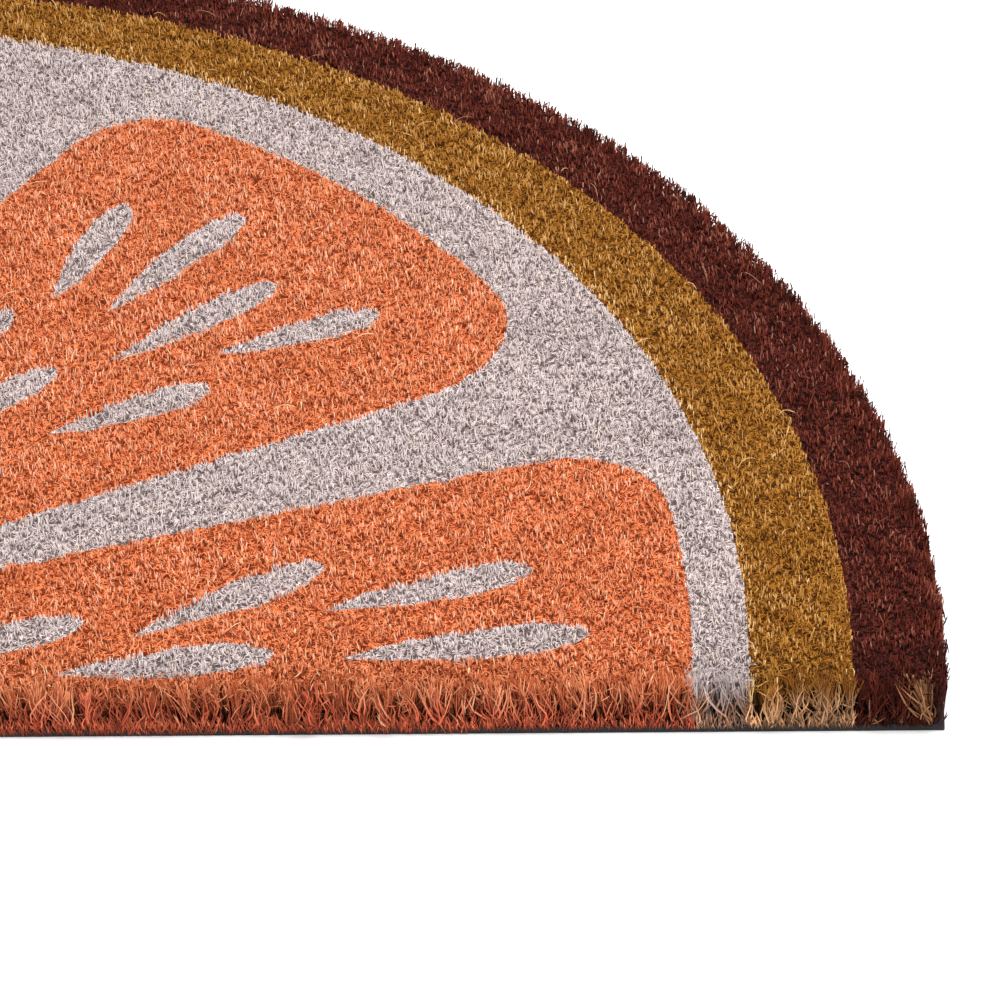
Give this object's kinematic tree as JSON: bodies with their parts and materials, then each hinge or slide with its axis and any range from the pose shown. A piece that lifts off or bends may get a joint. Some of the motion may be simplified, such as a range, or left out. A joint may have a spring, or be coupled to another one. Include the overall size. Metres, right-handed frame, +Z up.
{
  "type": "coir doormat",
  "caption": "Half-round coir doormat with a citrus slice printed in its pile, on a thin flat PVC backing sheet.",
  "frame": {"origin": "middle of the flat underside, half way from the straight edge to the top of the arc", "axes": "+X along the straight edge, +Y towards the round edge, +Z up out of the pile"},
  "size_m": [0.7556, 0.3811, 0.0149],
  "materials": {
    "pvc_backing": "matt black PVC sheet",
    "coir_pile": "stiff cut coconut fibre, printed orange, pale, mustard and brown"
  },
  "bodies": {
    "root": {"backing": "pvc_backing", "pile": "coir_pile"}
  },
  "joints": []
}
